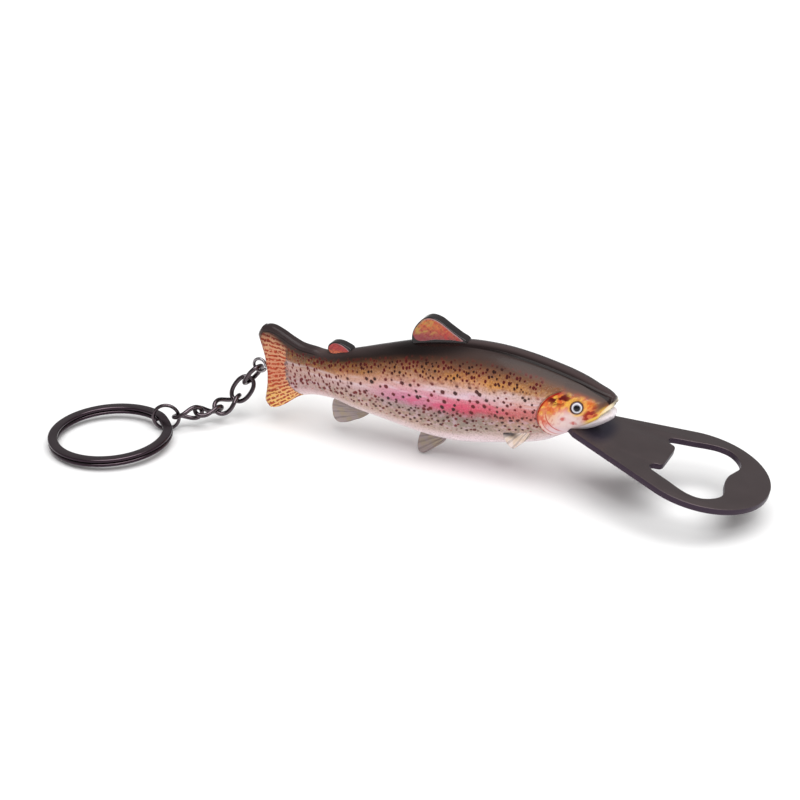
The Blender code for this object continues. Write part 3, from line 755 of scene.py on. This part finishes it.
def plate(outline, half_thickness, rounding, ray_root, rays=0, ray_depth=0.0, around=120, rings=26):
    """A flat plate with rounded edges as a grid (x, y, z) with y across it, and what its paint reads. The
    rays fan out from a point and stand in relief on both faces."""
    edge = smooth_outline(outline, around)
    centre = edge.mean(axis=0)
    reach = np.linalg.norm(edge - centre, axis=1).mean()
    inner = max(1.0 - rounding / reach, 0.5)
    rim = inner + (1 - inner) * np.sin(np.linspace(0.12, 1, 9) * math.pi / 2)
    shares = np.concatenate((np.linspace(0, inner, rings), rim))
    x, z = np.moveaxis(centre + shares[:, None, None] * (edge - centre)[None], -1, 0)
    fall = np.clip((shares - inner) / (1 - inner), 0, 1)
    thick = half_thickness - rounding + rounding * np.sqrt(np.clip(1 - fall**2, 0, 1))
    thick[-1] = half_thickness - rounding
    thick = np.repeat(thick[:, None], around, axis=1)
    angle = np.arctan2(z - ray_root[1], x - ray_root[0])
    if rays:
        thick = thick + ray_depth * np.cos(angle * rays) * (1 - fall[:, None])
    near, far = (np.stack((x, side * thick, z), axis=-1) for side in (-1, 1))
    points = np.concatenate((near, far[::-1]), axis=0)
    both = {"ray": angle, "rim": np.repeat(shares[:, None], around, axis=1)}
    attributes = {name: np.concatenate((values, values[::-1]), axis=0) for name, values in both.items()}
    attributes["place"] = np.stack((points[..., 0], points[..., 2], 0 * points[..., 0]), axis=-1)
    return points, attributes


def grown(outline, by):
    """The outline's points moved away from their middle."""
    points = np.array(outline)
    offsets = points - points.mean(axis=0)
    return points + by * offsets / np.linalg.norm(offsets, axis=1, keepdims=True)


def thick_fins():
    lacquer = black_lacquer()
    for name, outline, panel, half, root, ink in (
        ("dorsal", DORSAL_FIN, DORSAL_PANEL, DORSAL_HALF, (19.0, 13.0), dorsal_print()),
        ("adipose", ADIPOSE_FIN, ADIPOSE_PANEL, ADIPOSE_HALF, (-11.0, 8.5), adipose_print()),
    ):
        points, attributes = plate(outline, half, 0.32, root)
        surface(f"{name}_fin_black", points, attributes, lacquer, [f"{name}_fin"])
        for hand, side in HANDS:
            points, attributes = plate(grown(panel, 0.42), 0.24, 0.2, root, 44, 0.02)
            points[..., 1] += side * (half - 0.12)
            skin, node = f"{name}_print_{hand}", f"{name}_inlay_{hand}"
            surface(skin, points, attributes, ink, [node])


def thin_fins():
    smoke = ribbed_paint("smoky_fin", (160, 143, 140), (162, 144, 124), (92, 78, 82), 44.0, 0.32)
    for name, outline, root, rays in (
        ("anal", ANAL_FIN, (-5.5, -4.2), 44),
        ("pelvic", PELVIC_FIN, (14.5, -5.2), 40),
    ):
        points, attributes = plate(outline, THIN_HALF, 0.3, root, rays, 0.07, 140, 40)
        surface(f"{name}_fin_ribbed", points, attributes, smoke, [f"{name}_fin"])
    blush = ribbed_paint("pectoral_paint", (236, 218, 210), (226, 200, 178), (118, 96, 92), 34.0, 0.3, True)
    for hand, side in HANDS:
        points, attributes = plate(PECTORAL_FIN, THIN_HALF, 0.3, (5.0, 3.6), 34, 0.08, 140, 40)
        turn = side * PECTORAL_SPLAY
        y, z = points[..., 1].copy(), points[..., 2].copy()
        points[..., 1] = y * math.cos(turn) - z * math.sin(turn)
        points[..., 2] = y * math.sin(turn) + z * math.cos(turn)
        points += np.array(PECTORAL_POINT) * (1, side, 1)
        name = f"pectoral_fin_ribbed_{hand}"
        surface(name, points, attributes, blush, [f"pectoral_fin_{hand}"])


def black_lacquer():
    paint = Paint("black_lacquer", Coat_Weight=0.2, Coat_Roughness=0.06, Specular_IOR_Level=0.3)
    place = paint.vector("place")
    cloud = place.noise(3.0, 3.0)
    paint.colour(cloud.blend((22, 18, 19), (40, 33, 35)))
    paint.roughness(cloud * 0.14 + 0.16)
    paint.lumps(place.noise(0.6), 0.01)
    return paint.material


def streaked(name, top, bottom, dark, bounds):
    """Ink that runs from one colour at the top to another below, with dark broken streaks on the rays."""
    paint = Paint(name, Coat_Weight=0.2, Coat_Roughness=0.05, Roughness=0.25, Specular_IOR_Level=0.3)
    place = paint.vector("place")
    line = (paint.number("ray") * 62.0).math("SINE").rise(0.0, 0.8)
    cross = place.stretched((1.0, 2.6, 1.0), -40).noise(0.5).rise(0.5, 0.62)
    along, height, _ = place.axes()
    colour = height.rise(*bounds).blend(bottom, top).coats(
        (dark, line, place.noise(0.8).rise(0.44, 0.58), 0.6),
        (dark, cross, 0.5),
    )
    return paint, colour, place, along, height


def with_painted_rim_highlight(paint, colour, along, start):
    """The ink with a fine pale line, a painted highlight on its rounded edge, where it meets the black,
    towards the front and below.
    """
    line = paint.number("rim").rise(0.90, 0.95) * along.rise(start - 4.0, start)
    paint.colour(colour.coat((146, 120, 124), line, 0.75))
    return paint.material


def dorsal_print():
    paint, colour, place, along, height = streaked(
        "dorsal_print", (200, 106, 58), (150, 66, 72), (146, 40, 44), (17.9, 21.4)
    )
    ochre = place.stretched((2.4, 0.8, 1.0), 38).noise(0.9).rise(0.46, 0.6)
    crimson = place.noise(1.3).rise(0.44, 0.58)
    colour = colour.coats(
        ((186, 146, 70), ochre, along.rise(11.5, 7.5), height.rise(17.8, 19.4), 0.8),
        ((188, 52, 54), crimson, along.rise(7.5, 11.5), 0.6),
    )
    return with_painted_rim_highlight(paint, colour, along, 8.0)


def adipose_print():
    paint, colour, _, along, _ = streaked(
        "adipose_print", (176, 58, 56), (196, 96, 60), (112, 32, 38), (10.0, 10.7)
    )
    return with_painted_rim_highlight(paint, colour, along, -14.6)


def ribbed_paint(name, pale, tint, dark, lines, roughness, dark_root=False):
    """A pale clouded fin with wandering dark lines along its rays."""
    paint = Paint(name, Coat_Weight=0.4, Coat_Roughness=0.12, Roughness=roughness)
    place = paint.vector("place")
    wander = (place.noise(1.5) - 0.5) * 1.6
    line = (paint.number("ray") * lines + wander).math("SINE").rise(0.1, 0.95)
    colour = place.noise(2.5).rise(0.42, 0.62).blend(pale, tint).coats(
        (dark, line, place.noise(2.0) * 0.9 + 0.05),
        (dark, paint.number("rim").rise(0.9, 1.0), 0.15),
    )
    if dark_root:
        along, height, _ = place.axes()
        colour = colour.coat((70, 58, 56), height.rise(-1.7, -0.5), along.rise(1.8, -0.6))
    paint.colour(colour)
    paint.lumps(place.noise(0.5), 0.015)
    return paint.material


# ---- eyes


def eyes():
    paint = Paint("eye_paint", Coat_Weight=0.35, Coat_Roughness=0.02, Roughness=0.2, Specular_IOR_Level=0.2)
    off = paint.number("off_centre")
    colour = (6, 6, 9)
    # from the pupil outwards: where each ring starts, how softly, and its colour
    for start, soft, ring in (
        (0.72, 0.05, (150, 150, 160)), (0.86, 0.04, (200, 200, 208)), (0.97, 0.04, (224, 223, 230)),
        (1.15, 0.05, (118, 104, 112)), (1.30, 0.06, (80, 58, 60)),
    ):
        colour = off.rise(start - soft, start + soft).blend(colour, ring)
    paint.colour(colour)
    around = np.linspace(0, 2 * math.pi, 64, endpoint=False)[None, :]
    radii = np.linspace(0, math.pi / 2, 22)[:, None]
    off_centre = EYE_RADIUS * np.sin(radii) * np.ones_like(around)
    dome = 0.75 * np.cos(radii) * np.ones_like(around) - 0.05
    dome += 0.08 * step(-off_centre, -0.76, -0.62) + 0.05 * bump(off_centre - 1.04, 0.22)
    front = np.stack((off_centre * np.cos(around), off_centre * np.sin(around), dome), axis=-1)
    back = front.copy()
    back[..., 2] = -0.35
    local = np.concatenate((front, back[::-1]), axis=0)
    off_centre = np.concatenate((off_centre, off_centre[::-1] + 0.3), axis=0)
    for hand, side in HANDS:
        facing = Vector(EYE_FACING * (1, side, 1))
        points = local @ np.array(facing.to_track_quat("Z", "Y").to_matrix()).T + EYE_POINT * (1, side, 1)
        name = f"eye_dome_{hand}"
        surface(name, points, {"off_centre": off_centre}, paint.material, [f"eye_{hand}"])


# ---- blade

BLADE_POINT = (64.6, 0.0, 0.2)
BLADE_PITCH = math.radians(11.6)
BLADE_THICKNESS = 1.5
BLADE_NOSE_RADIUS = 16.0
BLADE_NOSE_CENTRE = 9.7
BLADE_TAPER = math.radians(21.3)
BLADE_SHOULDER = -19.1
TANG_END = -37.5
TANG_HALF_WIDTH = 4.0
CAP_HOLE = (
    (2.3, 0.0), (2.3, 4.0), (1.8, 5.0), (0.4, 5.5), (-0.1, 6.1), (-0.3, 7.0), (0.1, 8.1),
    (2.8, 9.3), (5.3, 10.3), (7.8, 11.5), (10.1, 12.3), (12.2, 12.4), (13.6, 12.0), (15.0, 11.0),
    (16.3, 9.5), (17.1, 7.8), (17.1, 5.9), (16.5, 3.9), (15.9, 1.7), (15.8, 0.0),
)


def blade_outline():
    turn = math.pi / 2 + BLADE_TAPER
    outline = []
    for angle in np.linspace(-turn, turn, 121):
        along = BLADE_NOSE_CENTRE + BLADE_NOSE_RADIUS * math.cos(angle)
        outline.append((along, BLADE_NOSE_RADIUS * math.sin(angle)))
    last_along, last_across = outline[-1]
    shoulder = last_across - (last_along - BLADE_SHOULDER) * math.tan(BLADE_TAPER)
    side = (
        (BLADE_SHOULDER, shoulder),
        (BLADE_SHOULDER - 1.6, TANG_HALF_WIDTH + 0.5),
        (BLADE_SHOULDER - 3.0, TANG_HALF_WIDTH),
        (TANG_END + 1.5, TANG_HALF_WIDTH),
        (TANG_END, TANG_HALF_WIDTH - 1.5),
    )
    outline.extend(side)
    outline.extend((along, -across) for along, across in reversed(side))
    return outline


def softened(points, rounds):
    """Corners cut by a quarter at both ends of each edge, a few times over."""
    points = np.array(points, float)
    for _ in range(rounds):
        after = np.roll(points, -1, axis=0)
        points = np.stack((points * 0.8 + after * 0.2, points * 0.2 + after * 0.8), axis=1).reshape(-1, 2)
    return points


def blade():
    hole = [*CAP_HOLE, *((along, -across) for along, across in reversed(CAP_HOLE[1:-1]))]
    rounding = 0.15
    data = bpy.data.curves.new("blade", "CURVE")
    data.dimensions = "2D"
    data.fill_mode = "BOTH"
    data.extrude = (BLADE_THICKNESS / 2 - rounding) * MM
    data.bevel_depth = rounding * MM
    data.bevel_resolution = 2
    data.offset = -rounding * MM
    for outline in (blade_outline(), softened(hole, 2)):
        add_line(data, [(x * MM, y * MM, 0.0) for x, y in outline])
    made = mesh_of_curve(data, 20)
    layer = made.attributes.new("place", "FLOAT_VECTOR", "POINT")
    layer.data.foreach_set("vector", (corners_of(made) / MM).astype(np.float32).ravel())
    cos, sin = math.cos(BLADE_PITCH), math.sin(BLADE_PITCH)
    down = np.array((sin, 0, cos))
    pitch = np.array(((cos, 0, sin), (0, 1, 0), (-sin, 0, cos)))
    place_mesh(made, pitch, np.array(BLADE_POINT) - down * BLADE_THICKNESS / 2)
    piece("steel_blade", made, "trout", blade_coat(), ["opener_blade"])


def blade_coat():
    paint = Paint("blade_coat", Metallic=0.85)
    place = paint.vector("place")
    along, across, height = place.axes()
    cloud, grain = place.noise(6.0, 3.0), place.noise(0.35)
    colour = cloud.blend((92, 82, 83), (103, 92, 93)).coats(
        # darker sides, and the painted dark blue reflection and shade of the chin at the root
        ((64, 52, 64), height.math("ABSOLUTE").rise(0.72, 0.60)),
        ((24, 32, 66), blob(along, across, (-14.6, 0.0), (3.2, 6.0), 0.5), 0.6),
    )
    paint.colour(colour)
    paint.roughness((cloud + grain) * 0.09 + 0.32)
    paint.lumps(grain, 0.012)
    return paint.material


# ---- chain and rings

EYELET_CENTRE = np.array((-37.95, 0.0, 1.8))
EYELET_RADIUS = 1.65
EYELET_WIRE = 0.38
SHANK_END = -29.0
LINK_POINTS = (
    (-38.7, 0.05, 0.75),
    (-41.7, 0.55, -3.35),
    (-43.9, -1.76, -7.4),
    (-46.5, -6.46, -9.1),
    (-49.6, -10.7, -8.7),
    (-53.7, -14.11, -9.25),
)
LINK_FACE = Vector((0.384, -0.816, 0.432))
LINK_TWIST = ((108, 104), (-5, 5), (92, 5), (110, 48), (-42, -100))
LINK_WIRE = 0.55
LINK_PLAY = 0.5
LINK_HALF_WIDTH = 2.2
JUMP_CENTRE = np.array((-56.12, -15.26, -9.45))
JUMP_AXIS = Vector((0.426, -0.905, 0.0))
JUMP_RADIUS = 3.15
JUMP_WIRE = 0.43  # a hair slimmer than the solid, as the key ring is, so the two clear at the hinge's limit
RING_CENTRE = np.array((-64.5, -27.23, -10.55))
RING_RADIUS = 13.83
RING_BAND = 2.34
RING_LEAF = 0.85
RING_RISE = 1.09
RING_TILT = math.radians(2.0)
RING_TILT_AXIS = Vector((0.8, -0.6, 0.0))
RING_START = math.radians(64)


def nickel(name, dark, pale, roughness, edges=None):
    """Plated wire: a clouded mirror with fine scratches, and on a flat band a painted shade, darker on the
    edges that face sideways.
    """
    paint = Paint(name, Metallic=1.0)
    place = paint.value("Object", "TexCoord", {})
    cloud = place.noise(4.0 * MM, 3.0)
    fine = place.stretched((1.0, 4.0, 1.0), 30).noise(0.25 * MM)
    colour = cloud.blend(dark, pale)
    if edges:
        # painted shade: the band's upright edges darker than its flat faces
        colour = paint.number("level").rise(0.35, 0.85).blend(edges, colour)
    paint.colour(colour)
    paint.roughness(cloud * 0.1 + fine * 0.08 + roughness)
    paint.lumps(fine, 0.006)
    return paint.material


def link_path(index, twist):
    start, end = Vector(LINK_POINTS[index]), Vector(LINK_POINTS[index + 1])
    along = (end - start).normalized()
    across = along.cross(LINK_FACE).normalized()
    depth = along.cross(across)
    reach = (end - start).length / 2 + LINK_WIRE + LINK_PLAY / 2
    middle = (start + end) / 2
    points = []
    for angle in np.linspace(0, 2 * math.pi, 81)[:-1]:
        distance = reach * math.copysign(abs(math.cos(angle)) ** 0.87, math.cos(angle))
        width = LINK_HALF_WIDTH * math.copysign(abs(math.sin(angle)) ** 0.87, math.sin(angle))
        share = 0.5 + 0.5 * math.sin(math.pi / 2 * distance / reach)
        turn = math.radians(twist[0] + (twist[1] - twist[0]) * share)
        sideways = across * math.cos(turn) + depth * math.sin(turn)
        points.append(middle + along * distance + sideways * width)
    return np.array(points)


def ring_path():
    points = []
    for degrees in np.arange(0.0, 690.1, 2.5):
        rise = min(max((degrees - 335.0) / 25.0, 0.0), 1.0)
        height = RING_RISE * (rise * rise * (3 - 2 * rise) - 0.5)
        angle = RING_START + math.radians(degrees)
        points.append((RING_RADIUS * math.cos(angle), RING_RADIUS * math.sin(angle), height))
    return points


def band_profile(rounding):
    """The flat band's cross section with its corners rounded."""
    data = bpy.data.curves.new("band_profile", "CURVE")
    data.dimensions = "2D"
    data.fill_mode = "NONE"
    corners = []
    for quarter, (sx, sy) in enumerate(((1, 1), (-1, 1), (-1, -1), (1, -1))):
        for angle in np.radians(np.linspace(0, 90, 6) + 90 * quarter):
            corners.append((
                sx * (RING_BAND / 2 - rounding) + rounding * math.cos(angle),
                sy * (RING_LEAF / 2 - rounding) + rounding * math.sin(angle),
            ))
    add_line(data, [(x * MM, y * MM, 0.0) for x, y in corners])
    return show("band_profile", data)


def chain_and_rings():
    plating = nickel("black_nickel", (74, 65, 69), (98, 88, 93), 0.10)
    for index, twist in enumerate(LINK_TWIST):
        body = f"chain_link_{index + 1}"
        made = wire(body, link_path(index, twist), LINK_WIRE, True)
        piece(f"twisted_link_{index + 1}", made, body, plating, [body])
    turn = np.array(JUMP_AXIS.to_track_quat("Z", "Y").to_matrix())
    angles = np.linspace(0, 2 * math.pi, 97)[:-1]
    circle = np.stack((JUMP_RADIUS * np.cos(angles), JUMP_RADIUS * np.sin(angles), 0 * angles), axis=-1)
    made = wire("jump_ring", circle @ turn.T + JUMP_CENTRE, JUMP_WIRE, True)
    piece("jump_ring_wire", made, "jump_ring", plating, ["jump_ring"])
    # the split ring is swept flat, then tilted about its centre
    profile = band_profile(0.34)
    made = wire("split_ring", np.array(ring_path()) - FRAME_SHIFT, 0.0, False, profile)
    bpy.data.objects.remove(profile)
    tilt = np.array(Quaternion(RING_TILT_AXIS.normalized(), RING_TILT).to_matrix())
    place_mesh(made, tilt, RING_CENTRE)
    level = [abs(vertex.normal.z) for vertex in made.vertices]
    made.attributes.new("level", "FLOAT", "POINT").data.foreach_set("value", level)
    ring_plating = nickel("ring_nickel", (82, 71, 76), (102, 90, 96), 0.12, (56, 44, 52))
    piece("split_ring_band", made, "split_ring", ring_plating, ["split_ring"])
    # screw eye: an open loop on a straight shank
    loop = []
    for degrees in np.linspace(0.0, 335.0, 60):
        angle = math.radians(degrees)
        loop.append((EYELET_RADIUS * math.cos(angle), 0.0, EYELET_RADIUS * math.sin(angle)))
    shank = [(SHANK_END - EYELET_CENTRE[0], 0.0, 0.0), (EYELET_RADIUS + 1.2, 0.0, 0.0)]
    made = wire("screw_eye", np.array(shank + loop) + EYELET_CENTRE, EYELET_WIRE, False)
    bright = nickel("bright_wire", (128, 120, 124), (176, 170, 174), 0.10)
    piece("screw_eye_wire", made, "trout", bright, ["screw_eye"])


# ---- stage


def area_light(name, place, target, size, power):
    data = bpy.data.lights.new(name, "AREA")
    data.shape = "RECTANGLE"
    data.size, data.size_y = size
    data.energy = power
    light = show(name, data)
    light.location = place
    light.rotation_euler = (Vector(target) - Vector(place)).to_track_quat("-Z", "Y").to_euler()


def stage():
    floor_data = bpy.data.meshes.new("floor")
    reach = 2.5
    corners = [(-reach, -reach, 0), (reach, -reach, 0), (reach, reach, 0), (-reach, reach, 0)]
    floor_data.from_pydata(corners, [], [(0, 1, 2, 3)])
    white = Paint("floor_white", Roughness=0.9, Specular_IOR_Level=0.1)
    white.colour((0.93, 0.93, 0.93, 1.0))
    floor_data.materials.append(white.material)
    floor = show("floor", floor_data)

    scene = bpy.context.scene
    scene.view_settings.view_transform = "Standard"
    world = bpy.data.worlds.new("studio")
    scene.world = world
    world.use_nodes = True
    sky = world.node_tree.nodes["Background"]
    sky.inputs["Color"].default_value = (1.0, 1.0, 1.0, 1.0)
    sky.inputs["Strength"].default_value = 0.36
    overhead = bpy.data.lights.new("overhead_softbox", "SUN")
    overhead.energy = 2.75
    overhead.angle = math.radians(62)
    light = show("overhead_softbox", overhead)
    light.rotation_euler = Vector((0.26, -0.24, 0.93)).to_track_quat("Z", "Y").to_euler()
    area_light("strip", (0.30, -0.40, 0.50), (0, 0, 0.01), (0.10, 0.04), 0.35)

    azimuth, elevation, distance = math.radians(25.2), math.radians(25.6), 0.440
    back = Vector((
        math.sin(azimuth) * math.cos(elevation),
        -math.cos(azimuth) * math.cos(elevation),
        math.sin(elevation),
    ))
    data = bpy.data.cameras.new("camera")
    data.lens = 83.25
    data.sensor_width = 36.0
    data.clip_start, data.clip_end = 0.01, 20.0
    camera = show("camera", data)
    camera.location = Vector(in_row_frame((0, 0, 0))) + back * distance
    camera.rotation_euler = (-back).to_track_quat("-Z", "Y").to_euler()
    scene.camera = camera


fish_body()
thick_fins()
thin_fins()
eyes()
blade()
chain_and_rings()
stage()

bpy.context.view_layer.update()
